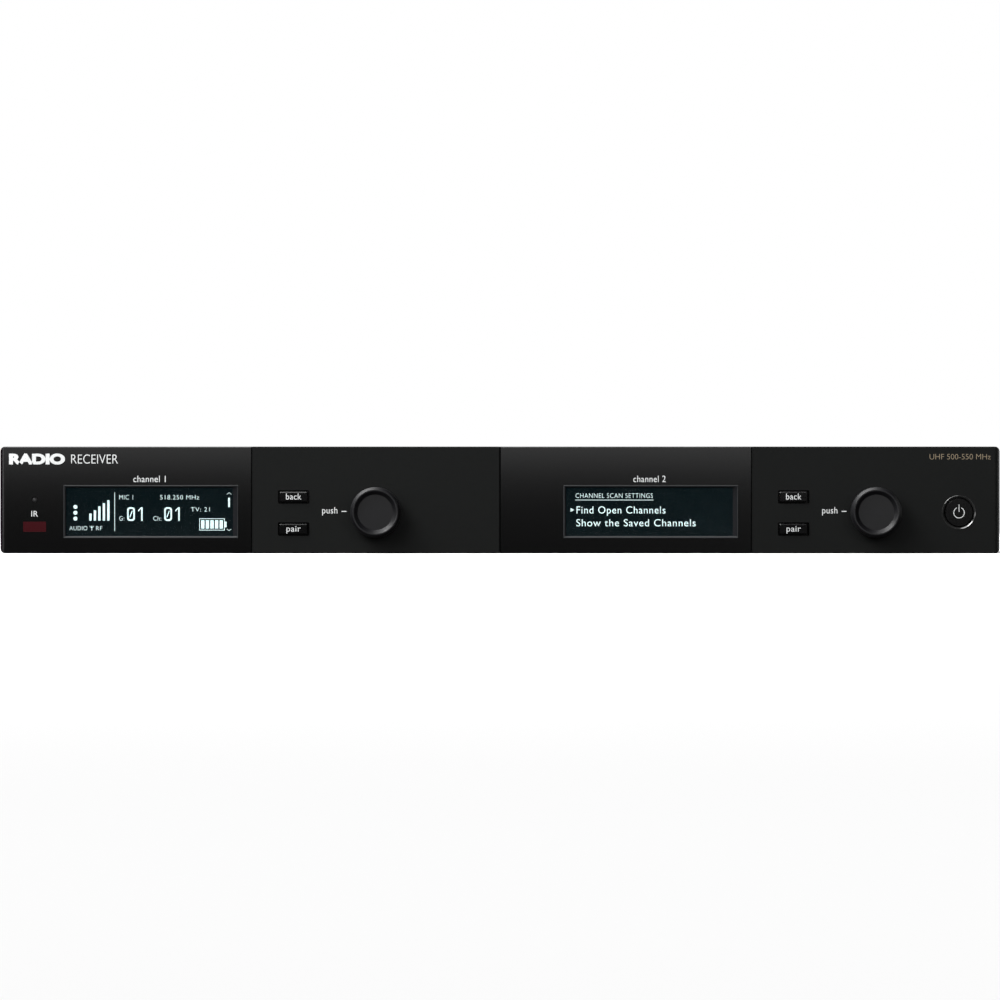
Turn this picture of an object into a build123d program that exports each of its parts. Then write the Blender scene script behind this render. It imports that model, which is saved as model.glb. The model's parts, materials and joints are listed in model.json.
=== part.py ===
from build123d import *
import os

# Dual-channel wireless microphone receiver, one rack unit high.  Millimetres.
# +X runs to the right along the front, +Y from the front to the back, +Z up.
# The origin is the centre of the flat base, midway between the front face and the rear wall.

# --- Driving dimensions -------------------------------------------------------------------
WIDTH = 393.0
HEIGHT = 42.0
FRONT_Y = -66.0  # front face of the fascia panels
REAR_Y = 66.0  # outer face of the rear panel
HALF_WIDTH = WIDTH / 2
CHANNEL_PITCH = WIDTH / 2  # the right half repeats the left one

# Front: four fascia panels in a row on a moulded bezel
FASCIA_THICK = 2.4
LENS_WIDTH = 99.0  # glossy panel round a display; the matt panel takes the rest of the half
SEAM = 0.1
OUTER_CORNER = 2.0
END_ROUND = 2.2  # rounding of the fascia's two ends, seen from above
SEAM_CORNER = 0.5
FASCIA_EDGE = 0.3
BEZEL_FRONT_Y = FRONT_Y + FASCIA_THICK
BEZEL_SKIN = 2.0
BEZEL_WALL = 2.2
BEZEL_REAR_Y = -52.0
BEZEL_INNER_Y = BEZEL_FRONT_Y + BEZEL_SKIN

# Controls, placed for the left channel
DISPLAY_X, DISPLAY_Z = -137.75, 16.3
DISPLAY_WIDTH, DISPLAY_HEIGHT = 65.5, 19.0
DISPLAY_SLOPE_DEPTH = 1.1
SLOPE_LEFT, SLOPE_RIGHT, SLOPE_LOW, SLOPE_HIGH = 0.9, 2.0, 0.7, 0.9  # widths seen from the front
SENSOR_X = -182.9
IR_Z, IR_WIDTH, IR_HEIGHT = 10.5, 9.0, 4.0
LIGHT_PIPE_Z, LIGHT_PIPE_RADIUS = 21.1, 0.9
BUTTON_X = -81.1
BACK_Z, PAIR_Z = 22.2, 9.6
BUTTON_WIDTH, BUTTON_HEIGHT = 11.1, 4.0
BUTTON_GAP = 0.65
BUTTON_PROUD, POWER_PROUD = 0.7, 0.0  # how far the caps stand out of the fascia at rest
BUTTON_EDGE, POWER_EDGE = 0.35, 0.1
KNOB_X, KNOB_Z = -48.9, 16.15
KNOB_RADIUS = 9.95
POWER_X, POWER_Z, POWER_RADIUS = 180.4, 16.1, 5.4
POWER_GAP, POWER_BEVEL = 0.3, 0.9

# Control boards behind the bezel
BOARD_THICK = 1.6
FRONT_BOARD_Y = -55.0  # front face of both control boards
SHAFT_RADIUS = 3.0
SWITCH_FACE = 7.2  # depth of a key switch's face behind the fascia's front face

# Sheet-metal case
STEEL = 1.2
TRAY_HALF_WIDTH = 195.1
TRAY_HEIGHT = 40.5
COVER_HALF_WIDTH = 196.4
COVER_TOP = 41.8
TRAY_FRONT_Y = BEZEL_REAR_Y
FLANGE_DEPTH = 9.0

# Rack-ear fixing on each side
EAR_Y, EAR_Z, EAR_SPACING, EAR_HOLE = -34.0, 21.0, 20.0, 2.1

# Main board
BOARD_Z = 6.0  # underside
BOARD_TOP = BOARD_Z + BOARD_THICK
STANDOFF_PLACES = [(x, y) for x in (-182, -62, 62, 182) for y in (-34, 36)]

# Rear connectors
AXIS_Z = 21.0  # height of the round connectors
ANTENNA_X = {"a": -176.0, "b": 176.0}
XLR_X = {"1": -56.0, "2": 62.0}
PHONE_X = {"1": -90.0, "2": 28.0}
ETHERNET_X, ETHERNET_Z = 104.0, BOARD_TOP + 6.7
DC_X, DC_Z = 148.0, BOARD_TOP + 6.0
HOOK_X = 130.0
ANTENNA_NECK, XLR_SHELL, PHONE_THREAD = 6.0, 11.6, 4.7  # radii that pass through the panel
ETHERNET_WIDTH, ETHERNET_HEIGHT = 16.0, 13.4
DC_WIDTH, DC_HEIGHT = 9.0, 11.6
PANEL_CLEAR = 0.3

# Screws
SCREW_SHANK, SCREW_HEAD, SCREW_CLEAR = 1.45, 2.7, 0.1
TOP_SCREWS = [(x, y) for x in (-150, 0, 150) for y in (TRAY_FRONT_Y + 6, REAR_Y - 6)]
SIDE_SCREWS = [(8, AXIS_Z), (48, AXIS_Z)]
BOTTOM_SCREWS = [(x, REAR_Y - 6) for x in (-150, -50, 50, 150)]
BEZEL_BOSSES = [(x, z) for x in (-191.0, 0, 191.0) for z in (6.5, 35.5)]
XLR_SCREWS = [(-9.5, 12.0), (9.5, -12.0)]


# --- Helpers ------------------------------------------------------------------------------
def block(x0, x1, y0, y1, z0, z1):
    """A box between two corners."""
    return Pos((x0 + x1) / 2, (y0 + y1) / 2, (z0 + z1) / 2) * Box(x1 - x0, y1 - y0, z1 - z0)


def prism(width, height, low, high, corner=0.0):
    """A rectangular bar along Z, centred on the axis, with rounded corners if asked."""
    outline = RectangleRounded(width, height, corner) if corner else Rectangle(width, height)
    return Pos(0, 0, low) * extrude(outline, high - low)


def disc(radius, low, high):
    """A round bar along Z."""
    return Pos(0, 0, (low + high) / 2) * Cylinder(radius, high - low)


def tube(outer, inner, low, high):
    """A round bar along Z with a hole through it."""
    return disc(outer, low, high) - disc(inner, low - 1, high + 1)


def turned(points):
    """A part turned about Z from its half section, given as (radius, height) points."""
    section = make_face(Polyline(*[(r, 0, h) for r, h in points], close=True))
    return revolve(section, Axis.Z)


def on_front(part, x, z):
    """Moves a part from its own frame to the front: its +Z points out of the fascia."""
    return Pos(x, FRONT_Y, z) * Rot(X=90) * part


def on_rear(part, x, z):
    """Moves a part from its own frame to the rear: its +Z points out of the rear panel."""
    return Pos(x, REAR_Y, z) * Rot(Z=180) * Rot(X=90) * part


def slab(x0, x1, z0, z1, y0, y1, corner=0.0):
    """An upright plate square to Y."""
    bar = prism(x1 - x0, z1 - z0, 0, y1 - y0, corner)
    return Pos((x0 + x1) / 2, y1, (z0 + z1) / 2) * Rot(X=90) * bar


def cross_recess(arm, floor):
    """A cutter for the cross in a screw's head, with its floor at a height."""
    slot, top = 0.25, 2
    return block(-arm, arm, -slot, slot, floor, top) + block(-slot, slot, -arm, arm, floor, top)


def flat_screw(length, head=SCREW_HEAD, shank=SCREW_SHANK):
    """A countersunk screw whose head's top is at z = 0, with a cross recess."""
    depth = head - shank
    screw = turned([(0, 0), (head, 0), (shank, -depth), (shank, -length), (0, -length)])
    return screw - cross_recess(1.5, -0.8)


def pan_screw(length, head=2.6, shank=SCREW_SHANK, rise=1.6):
    """A pan-head screw seated at z = 0 with its shank below and its head rising above."""
    edge = (head, 0.6 * rise), (0.75 * head, rise)
    screw = turned([(0, -length), (shank, -length), (shank, 0), (head, 0), *edge, (0, rise)])
    return screw - cross_recess(0.55 * head, 0.45 * rise)


def countersink(head=SCREW_HEAD, shank=SCREW_SHANK):
    """The hole that a countersunk screw needs, from its head's top down."""
    wide, narrow = head + SCREW_CLEAR, shank + SCREW_CLEAR
    return turned(
        [(0, 1), (wide, 1), (wide, 0), (narrow, narrow - wide), (narrow, -9), (0, -9)]
    )


def all_of(shapes):
    """Several separate solids as one shape."""
    return Compound(children=[solid for shape in shapes for solid in shape.solids()])


# --- Front fascia -------------------------------------------------------------------------
def rounded_front(x0, x1, left_corner, right_corner):
    """A panel's outline from the front: a corner radius for each side."""
    outline = slab(x0, x1, 0, HEIGHT, FRONT_Y, BEZEL_FRONT_Y)
    for side, radius in ((0, left_corner), (-1, right_corner)):
        outline = fillet(outline.edges().filter_by(Axis.Y).group_by(Axis.X)[side], radius)
    return outline


def fascia_panel(x0, x1, left_corner, right_corner):
    """A blank panel: fine bevels on its seams, top and bottom, and a rounded outer end."""
    x0, x1 = x0 + SEAM / 2, x1 - SEAM / 2
    panel = rounded_front(x0, x1, left_corner, right_corner)
    plan = block(x0, x1, FRONT_Y, BEZEL_FRONT_Y, 0, HEIGHT)
    for side, corner in ((0, left_corner), (-1, right_corner)):
        front_edge = plan.edges().filter_by(Axis.Z).group_by(Axis.Y)[0].sort_by(Axis.X)[side]
        round_end = corner == OUTER_CORNER
        plan = fillet(front_edge, END_ROUND) if round_end else chamfer(front_edge, FASCIA_EDGE)
    ends = block(x0, x1, FRONT_Y, BEZEL_FRONT_Y, 0, HEIGHT)
    ends = chamfer(ends.edges().filter_by(Axis.X).group_by(Axis.Y)[0], FASCIA_EDGE)
    return panel & plan & ends


def bevel_opening(panel, cutter, bevel):
    """Cuts an opening and bevels its front edge; it is the first opening in the panel."""
    panel -= cutter
    front = panel.faces().sort_by(Axis.Y)[0]
    return chamfer([edge for wire in front.inner_wires() for edge in wire.edges()], bevel)


def display_opening():
    """A cutter for the display: straight at the back, with sloping sides at the front."""
    foot = Pos(0, 0, -DISPLAY_SLOPE_DEPTH) * Rectangle(DISPLAY_WIDTH, DISPLAY_HEIGHT)
    mouth_width = DISPLAY_WIDTH + SLOPE_LEFT + SLOPE_RIGHT
    mouth_height = DISPLAY_HEIGHT + SLOPE_LOW + SLOPE_HIGH
    shift = Pos((SLOPE_RIGHT - SLOPE_LEFT) / 2, (SLOPE_HIGH - SLOPE_LOW) / 2, 0)
    mouth = shift * Rectangle(mouth_width, mouth_height)
    return loft([foot, mouth]) + prism(DISPLAY_WIDTH, DISPLAY_HEIGHT, -5, -DISPLAY_SLOPE_DEPTH)


def lens_panel(x0, left_corner):
    """A glossy panel with an opening for the display."""
    panel = fascia_panel(x0, x0 + LENS_WIDTH, left_corner, SEAM_CORNER)
    centre = x0 + HALF_WIDTH + DISPLAY_X
    return panel - on_front(display_opening(), centre, DISPLAY_Z)


def sensor_openings(panel, gap):
    """Cuts the infrared window's and the light pipe's holes, gap wider all round."""
    window = prism(IR_WIDTH + 2 * gap, IR_HEIGHT + 2 * gap, -6, 1, 0.3 + gap)
    pipe = disc(LIGHT_PIPE_RADIUS + gap, -6, 1)
    return panel - on_front(window, SENSOR_X, IR_Z) - on_front(pipe, SENSOR_X, LIGHT_PIPE_Z)


def button_openings(panel, shift, gap):
    """Cuts one channel's two key holes and its encoder hole."""
    key = prism(BUTTON_WIDTH + 2 * gap, BUTTON_HEIGHT + 2 * gap, -6, 1, 0.6)
    panel -= on_front(key, BUTTON_X + shift, BACK_Z)
    panel -= on_front(key, BUTTON_X + shift, PAIR_Z)
    return panel - on_front(disc(SHAFT_RADIUS + 1.0, -6, 1), KNOB_X + shift, KNOB_Z)


def lens_panel_1():
    return sensor_openings(lens_panel(-HALF_WIDTH, OUTER_CORNER), 0.05)


def lens_panel_2():
    return lens_panel(0, SEAM_CORNER)


def control_panel_1():
    panel = fascia_panel(LENS_WIDTH - HALF_WIDTH, 0, SEAM_CORNER, SEAM_CORNER)
    return button_openings(panel, 0, BUTTON_GAP)


def control_panel_2():
    panel = fascia_panel(LENS_WIDTH, HALF_WIDTH, SEAM_CORNER, OUTER_CORNER)
    power = on_front(disc(POWER_RADIUS + POWER_GAP, -5, 5), POWER_X, POWER_Z)
    panel = bevel_opening(panel, power, POWER_BEVEL)
    return button_openings(panel, CHANNEL_PITCH, BUTTON_GAP)


def front_bezel():
    """The moulding that carries the panels, with bosses for the boards and for the case."""
    bezel = slab(-HALF_WIDTH, HALF_WIDTH, 0, HEIGHT, BEZEL_FRONT_Y, BEZEL_REAR_Y, OUTER_CORNER)
    inner = HALF_WIDTH - BEZEL_WALL
    bezel -= block(-inner, inner, BEZEL_INNER_Y, 0, BEZEL_WALL, HEIGHT - BEZEL_WALL)
    front_depth, rear_depth = FRONT_Y - BEZEL_INNER_Y, FRONT_Y - BEZEL_REAR_Y
    for x, z in BEZEL_BOSSES:
        bezel += on_front(disc(2.8, rear_depth, front_depth), x, z)
    for x, z in front_board_holes():
        bezel += on_front(disc(2.2, FRONT_Y - FRONT_BOARD_Y, front_depth), x, z)
    for x, z in BEZEL_BOSSES:
        bezel -= on_front(disc(SCREW_SHANK + 0.05, rear_depth - 1, front_depth - 1), x, z)
    for x, z in front_board_holes():
        bezel -= on_front(disc(1.05, rear_depth, front_depth - 0.5), x, z)
    for shift in (0, CHANNEL_PITCH):
        window = prism(DISPLAY_WIDTH + 4.4, DISPLAY_HEIGHT + 4.4, -6, 1, 0.5)
        bezel -= on_front(window, DISPLAY_X + shift, DISPLAY_Z)
        bezel = button_openings(bezel, shift, BUTTON_GAP + 0.15)
    bezel = sensor_openings(bezel, 0.2)
    return bezel - on_front(disc(POWER_RADIUS + POWER_GAP + 0.2, -6, 1), POWER_X, POWER_Z)


def bezel_screws():
    """Screws from inside the case through its front wall into the bezel's bosses."""
    screw = Rot(X=180) * pan_screw(6.5)
    seat = FRONT_Y - (TRAY_FRONT_Y + STEEL)
    return all_of(on_front(Pos(0, 0, seat) * screw, x, z) for x, z in BEZEL_BOSSES)


# --- Displays and sensors -----------------------------------------------------------------
def display_window(shift):
    """The clear sheet just behind the lens panel's opening."""
    sheet = prism(DISPLAY_WIDTH + 4.2, DISPLAY_HEIGHT + 4.2, -FASCIA_THICK - 1.2, -FASCIA_THICK, 0.4)
    return on_front(sheet, DISPLAY_X + shift, DISPLAY_Z)


def display_module(shift):
    """The graphic display: its glass stands in the bezel's window on a wider metal frame."""
    glass = prism(DISPLAY_WIDTH + 3.8, DISPLAY_HEIGHT + 3.8, -4.5, -3.7)
    frame = prism(DISPLAY_WIDTH + 9, DISPLAY_HEIGHT + 6.5, -10.9, -4.5, 0.8)
    return on_front(glass + frame, DISPLAY_X + shift, DISPLAY_Z)


def ir_window():
    return on_front(prism(IR_WIDTH, IR_HEIGHT, -4.6, -0.02, 0.3), SENSOR_X, IR_Z)


def status_light_pipe():
    """A clear rod from the board's indicator to the face, with a domed end and a wider foot."""
    r, foot = LIGHT_PIPE_RADIUS, -10.9
    pipe = turned([(0, -0.05), (0.5, -0.1), (r, -0.35), (r, -7), (1.6, -7), (1.6, foot), (0, foot)])
    return on_front(pipe, SENSOR_X, LIGHT_PIPE_Z)


# --- Control boards -----------------------------------------------------------------------
BOARD_INNER_X, BOARD_OUTER_X = 4.0, 187.6
BOARD_LOW_Z, BOARD_HIGH_Z = 3.2, 38.8


def front_board_holes():
    """Fixing points of both control boards, clear of the displays, keys and encoders."""
    between = BUTTON_X - 13.0
    xs = (-184.0, between, -9.0, 9.0, between + CHANNEL_PITCH, 184.0)
    return [(x, z) for x in xs for z in (BOARD_LOW_Z + 2.7, BOARD_HIGH_Z - 3)]


def front_board(side):
    """A control board; side is -1 for the left one and 1 for the right one."""
    x0, x1 = sorted((side * BOARD_INNER_X, side * BOARD_OUTER_X))
    board = slab(x0, x1, BOARD_LOW_Z, BOARD_HIGH_Z, FRONT_BOARD_Y, FRONT_BOARD_Y + BOARD_THICK, 1.0)
    for x, z in front_board_holes():
        board -= on_front(disc(1.2, -16, -8), x, z)
    return board


def front_board_screws():
    screw = Rot(X=180) * pan_screw(5.0, head=2.0, shank=1.0, rise=1.1)
    seat = FRONT_Y - (FRONT_BOARD_Y + BOARD_THICK)
    return all_of(on_front(Pos(0, 0, seat) * screw, x, z) for x, z in front_board_holes())


def key_places():
    """(x, z) of the four channel keys and the power key."""
    keys = [(BUTTON_X + shift, z) for shift in (0, CHANNEL_PITCH) for z in (BACK_Z, PAIR_Z)]
    return keys + [(POWER_X, POWER_Z)]


def tact_switches():
    """Key switches on the control boards, each with a well for its key's stem."""
    depth = FRONT_Y - FRONT_BOARD_Y
    body = prism(6, 6, depth, -SWITCH_FACE, 0.4) - disc(1.9, -9.3, 0)
    return all_of(on_front(body, x, z) for x, z in key_places())


# Heights in a control's own frame, where the fascia's front face is 0
FLANGE_FRONT = -(FASCIA_THICK + BEZEL_SKIN + 0.1)
FLANGE_BACK = FLANGE_FRONT - 0.9
CAP_BACK = FLANGE_FRONT - 0.2


def key(cap):
    """Adds the return stem, which ends inside the key switch, to a key's cap and flange."""
    return cap + disc(1.6, -SWITCH_FACE - 0.8, FLANGE_BACK + 0.1)


def rectangular_key(x, z):
    cap = prism(BUTTON_WIDTH, BUTTON_HEIGHT, CAP_BACK, BUTTON_PROUD, 0.5)
    cap = chamfer(cap.faces().sort_by(Axis.Z)[-1].edges(), BUTTON_EDGE)
    cap += prism(BUTTON_WIDTH + 2.6, BUTTON_HEIGHT + 2.2, FLANGE_BACK, FLANGE_FRONT, 0.6)
    return on_front(key(cap), x, z)


def back_button(shift):
    return rectangular_key(BUTTON_X + shift, BACK_Z)


def pair_button(shift):
    return rectangular_key(BUTTON_X + shift, PAIR_Z)


def power_button():
    cap = disc(POWER_RADIUS, CAP_BACK, POWER_PROUD)
    cap = chamfer(cap.faces().sort_by(Axis.Z)[-1].edges(), POWER_EDGE)
    flange = disc(POWER_RADIUS + 1.3, FLANGE_BACK, FLANGE_FRONT)
    return on_front(key(cap + flange), POWER_X, POWER_Z)


# --- Rotary encoders and knobs ------------------------------------------------------------
BUSHING_RADIUS, BUSHING_FOOT = 3.5, -5.3


def encoder_housing(shift):
    """The encoder's case on the control board, open in front for the shaft."""
    depth = FRONT_Y - FRONT_BOARD_Y
    case = prism(12.4, 13.2, depth, -4.5, 0.8) - disc(3.7, depth + 1, BUSHING_FOOT)
    case -= disc(BUSHING_RADIUS, BUSHING_FOOT - 1, 0)
    return on_front(case, KNOB_X + shift, KNOB_Z)


def encoder_bushings():
    """The threaded collars that guide the two shafts."""
    collar = tube(BUSHING_RADIUS, SHAFT_RADIUS + 0.05, BUSHING_FOOT, 0.4)
    return all_of(on_front(collar, KNOB_X + shift, KNOB_Z) for shift in (0, CHANNEL_PITCH))


def encoder_plunger(shift):
    """The slider under the shaft that works the push switch."""
    return on_front(disc(3.5, -9.0, -7.05) + disc(1.5, -9.3, -9.0), KNOB_X + shift, KNOB_Z)


def encoder_shaft(shift):
    """A round shaft with a flat along the end that the knob grips."""
    shaft = disc(SHAFT_RADIUS, -7.0, 6.3) - block(-4, 4, 1.5, 4, 1.6, 7)
    return on_front(shaft, KNOB_X + shift, KNOB_Z)


KNOB_BACK, KNOB_FRONT = 1.0, 9.0
KNOB_CREST_RADIUS, KNOB_CREST_WIDTH, KNOB_BEVEL_DEPTH = 8.65, 0.5, 1.3
KNOB_DISH_RADIUS, KNOB_DISH_DEPTH = 6.95, 1.5


def knob(shift):
    """A hollow knob with a raised rim round a sunken face, and a boss on the shaft."""
    dish = KNOB_FRONT - KNOB_DISH_DEPTH
    body = turned(
        [
            (0, KNOB_BACK),
            (KNOB_RADIUS, KNOB_BACK),
            (KNOB_RADIUS - 0.1, KNOB_FRONT - KNOB_BEVEL_DEPTH),
            (KNOB_CREST_RADIUS + KNOB_CREST_WIDTH / 2, KNOB_FRONT),
            (KNOB_CREST_RADIUS - KNOB_CREST_WIDTH / 2, KNOB_FRONT),
            (KNOB_DISH_RADIUS, dish),
            (0, dish),
        ]
    )
    circles = body.edges().filter_by(GeomType.CIRCLE).sort_by(Axis.Z)
    body = chamfer(circles[0], 0.3)
    circles = body.edges().filter_by(GeomType.CIRCLE).sort_by(Axis.Z)
    body = fillet([edge for edge in circles if edge.center().Z > KNOB_FRONT - 0.1], 0.18)
    body -= tube(8.2, 4.6, KNOB_BACK - 1, 5.6)
    body -= disc(4.7, KNOB_BACK - 1, KNOB_BACK + 0.6)
    bore = disc(SHAFT_RADIUS + 0.03, KNOB_BACK - 1, 6.4)
    flat = block(-4, 4, 1.53, 4, KNOB_BACK + 0.8, 7)
    return on_front(body - (bore - flat), KNOB_X + shift, KNOB_Z)


# --- Case ---------------------------------------------------------------------------------
def ear_places():
    half = EAR_SPACING / 2
    return [(EAR_Y + dy, EAR_Z + dz) for dy in (-half, half) for dz in (-half, half)]


def side_holes(part, radius):
    """Round holes through both side walls at the rack-ear fixings."""
    for y, z in ear_places():
        part -= Pos(0, y, z) * Rot(Y=90) * Cylinder(radius, 2 * HALF_WIDTH + 4)
    return part


def base_chassis():
    """The folded tray: bottom, side walls and front wall."""
    w = TRAY_HALF_WIDTH
    tray = block(-w, w, TRAY_FRONT_Y, REAR_Y, 0, TRAY_HEIGHT)
    bends = [e for e in tray.edges().filter_by(Axis.Y) if e.center().Z < 1]
    tray = fillet(bends, STEEL)
    inner = w - STEEL
    tray -= block(-inner, inner, TRAY_FRONT_Y + STEEL, REAR_Y + 1, STEEL, HEIGHT)
    for x0, x1 in ((-180, -100), (-92, -10), (10, 92), (100, 180)):
        tray -= slab(x0, x1, 9, 33, TRAY_FRONT_Y - 1, TRAY_FRONT_Y + 2, 2.0)
    for x, y in TOP_SCREWS:
        if y < 0:
            flange_rear = TRAY_FRONT_Y + STEEL + FLANGE_DEPTH
            tray += block(x - 9, x + 9, TRAY_FRONT_Y, flange_rear, TRAY_HEIGHT - STEEL, TRAY_HEIGHT)
            tray -= Pos(x, y, TRAY_HEIGHT) * Cylinder(SCREW_SHANK + 0.05, 4)
    for x, z in BEZEL_BOSSES:
        tray -= on_front(disc(SCREW_SHANK + 0.15, -17, -13), x, z)
    for x, y in BOTTOM_SCREWS:
        tray -= Pos(x, y, 0) * Rot(X=180) * countersink()
    for y, z in SIDE_SCREWS:
        tray -= Pos(0, y, z) * Rot(Y=90) * Cylinder(SCREW_SHANK + 0.05, 2 * HALF_WIDTH)
    return side_holes(tray, EAR_HOLE)


def rear_panel():
    """The plate that carries the connectors, with a flange folded forward along top and bottom."""
    w, low, high = TRAY_HALF_WIDTH - STEEL - 0.1, STEEL + 0.05, TRAY_HEIGHT - 0.05
    inner = REAR_Y - STEEL
    panel = block(-w, w, inner, REAR_Y, low, high)
    panel += block(-w, w, inner - FLANGE_DEPTH, inner, low, low + STEEL)
    panel += block(-w, w, inner - FLANGE_DEPTH, inner, high - STEEL, high)
    for x in ANTENNA_X.values():
        panel -= on_rear(disc(ANTENNA_NECK + PANEL_CLEAR, -3, 1), x, AXIS_Z)
    for x in XLR_X.values():
        panel -= on_rear(disc(XLR_SHELL + PANEL_CLEAR, -3, 1), x, AXIS_Z)
        for dx, dz in XLR_SCREWS:
            panel -= on_rear(Pos(dx, dz, 0) * disc(SCREW_SHANK + 0.05, -3, 1), x, AXIS_Z)
    for x in PHONE_X.values():
        panel -= on_rear(disc(PHONE_THREAD + PANEL_CLEAR, -3, 1), x, AXIS_Z)
    around = 2 * PANEL_CLEAR
    network = prism(ETHERNET_WIDTH + around, ETHERNET_HEIGHT + around, -3, 1, 0.4)
    power = prism(DC_WIDTH + around, DC_HEIGHT + around, -3, 1, 0.8)
    panel -= on_rear(network, ETHERNET_X, ETHERNET_Z) + on_rear(power, DC_X, DC_Z)
    for x, y in TOP_SCREWS:
        if y > 0:
            panel -= Pos(x, y, TRAY_HEIGHT) * Cylinder(SCREW_SHANK + 0.05, 4)
    for x, y in BOTTOM_SCREWS:
        panel -= Pos(x, y, low) * Cylinder(SCREW_SHANK + 0.05, 4)
    return panel


def top_cover():
    """The lid, folded down over both sides of the tray."""
    w, inner = COVER_HALF_WIDTH, COVER_HALF_WIDTH - STEEL
    cover = block(-w, w, TRAY_FRONT_Y, REAR_Y, 0.8, COVER_TOP)
    bends = [e for e in cover.edges().filter_by(Axis.Y) if e.center().Z > COVER_TOP - 1]
    cover = fillet(bends, STEEL)
    cover -= block(-inner, inner, TRAY_FRONT_Y - 1, REAR_Y + 1, 0, COVER_TOP - STEEL)
    for x, y in TOP_SCREWS:
        cover -= Pos(x, y, COVER_TOP) * countersink()
    for y, z in SIDE_SCREWS:
        cover -= Pos(w, y, z) * Rot(Y=90) * countersink()
        cover -= Pos(-w, y, z) * Rot(Y=-90) * countersink()
    return side_holes(cover, EAR_HOLE)


def chassis_screws():
    """Identical countersunk screws: cover to case on top and sides, rear panel from below."""
    screw = flat_screw(6.0)
    top = [Pos(x, y, COVER_TOP) * screw for x, y in TOP_SCREWS]
    right = [Pos(COVER_HALF_WIDTH, y, z) * Rot(Y=90) * screw for y, z in SIDE_SCREWS]
    left = [Pos(-COVER_HALF_WIDTH, y, z) * Rot(Y=-90) * screw for y, z in SIDE_SCREWS]
    short = flat_screw(4.0)
    under = [Pos(x, y, 0) * Rot(X=180) * short for x, y in BOTTOM_SCREWS]
    return all_of(top + right + left + under)


def rack_ear_inserts():
    """Pressed-in threaded bushes behind the side walls."""
    face = TRAY_HALF_WIDTH - STEEL
    bush = tube(3.6, EAR_HOLE, 0, 3)
    right = [Pos(face - 3, y, z) * Rot(Y=90) * bush for y, z in ear_places()]
    left = [Pos(-face + 3, y, z) * Rot(Y=-90) * bush for y, z in ear_places()]
    return all_of(right + left)


# --- Main board ---------------------------------------------------------------------------
RIBBON_X = (-44.0, 44.0)
RIBBON_WIDTH, RIBBON_THICK, RIBBON_Z, RIBBON_DROP_Y = 20.0, 0.3, 20.0, -36.0


def main_board():
    board = block(-188, 188, -40, 60, BOARD_Z, BOARD_TOP)
    for x, y in STANDOFF_PLACES:
        board -= Pos(x, y, BOARD_Z) * Cylinder(SCREW_SHANK + 0.15, 6)
    return board


def board_standoffs():
    post = tube(3.0, SCREW_SHANK + 0.05, STEEL, BOARD_Z)
    return all_of(Pos(x, y, 0) * post for x, y in STANDOFF_PLACES)


def board_screws():
    screw = pan_screw(5.0)
    return all_of(Pos(x, y, BOARD_TOP) * screw for x, y in STANDOFF_PLACES)


def rf_shield(side):
    """A folded tin can over one antenna's radio section."""
    x = side * 158.0
    can = block(x - 19, x + 19, -30, 28, BOARD_TOP, BOARD_TOP + 7)
    return can - block(x - 18.6, x + 18.6, -29.6, 27.6, BOARD_TOP - 1, BOARD_TOP + 6.6)


def board_components():
    """The larger parts on the boards: chips, coils, capacitors and the ribbon sockets."""
    top = BOARD_TOP
    parts = []
    for side in (-1, 1):
        x = side * 70
        parts.append(block(x - 11, x + 11, -18, 4, top, top + 2.4))
        parts.append(block(x - 22, x - 15, -14, -4, top, top + 1.8))
        for step in range(3):
            parts.append(Pos(x - 14 + 14 * step, 20, top + 5.5) * Cylinder(4, 11))
    parts.append(block(-14, 14, -16, 12, top, top + 3))
    for step in range(3):
        parts.append(block(94 + 13 * step, 104 + 13 * step, -16, -6, top, top + 5))
    for x in RIBBON_X:
        parts.append(block(x - 11, x + 11, RIBBON_DROP_Y - 2, RIBBON_DROP_Y + 2, top, top + 3))
        back = FRONT_BOARD_Y + BOARD_THICK
        parts.append(block(x - 11, x + 11, back, back + 2.2, RIBBON_Z - 2, RIBBON_Z + 2))
    return all_of(parts)


def ribbon_cables():
    """Flat cables from the control boards to the main board."""
    start = FRONT_BOARD_Y + BOARD_THICK + 2.2
    turn, end = (RIBBON_DROP_Y, RIBBON_Z), (RIBBON_DROP_Y, BOARD_TOP + 3)
    route = FilletPolyline((start, RIBBON_Z), turn, end, radius=4)
    strip = extrude(Plane.YZ * trace(route, RIBBON_THICK), RIBBON_WIDTH / 2, both=True)
    return all_of(Pos(x, 0, 0) * strip for x in RIBBON_X)


# --- Rear connectors ----------------------------------------------------------------------
def hexagon(across_flats, low, high):
    outline = RegularPolygon(across_flats / 2, 6, major_radius=False)
    return Pos(0, 0, low) * extrude(outline, high - low)


def to_board(width, low, high, axis_height, top):
    """A foot from a connector's body down to the main board; top is where it meets the body."""
    return block(-width / 2, width / 2, BOARD_TOP - axis_height, top, low, high)


def antenna_jack(x):
    """A bayonet coaxial socket: square body inside, threaded neck, barrel with two lugs."""
    jack = prism(14.5, 14.5, -15.2, -STEEL, 0.6) + to_board(12, -15, -4, AXIS_Z, -7)
    jack += disc(ANTENNA_NECK, -STEEL, 3.6) + disc(4.8, 3.6, 11.0)
    jack += Pos(0, 0, 7.0) * Rot(Y=90) * Cylinder(1.0, 11.0)
    jack = chamfer(jack.faces().sort_by(Axis.Z)[-1].edges(), 0.3)
    return on_rear(jack - disc(4.05, -6.0, 12), x, AXIS_Z)


def antenna_jack_nuts():
    nut = hexagon(15.5, 0, 2.2) - disc(ANTENNA_NECK + 0.05, -1, 3)
    return all_of(on_rear(nut, x, AXIS_Z) for x in ANTENNA_X.values())


def antenna_jack_insulators():
    core = disc(4.0, -6.0, 3.0) + disc(2.35, 3.0, 9.5) - disc(1.1, -5.0, 12)
    return all_of(on_rear(core, x, AXIS_Z) for x in ANTENNA_X.values())


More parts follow.
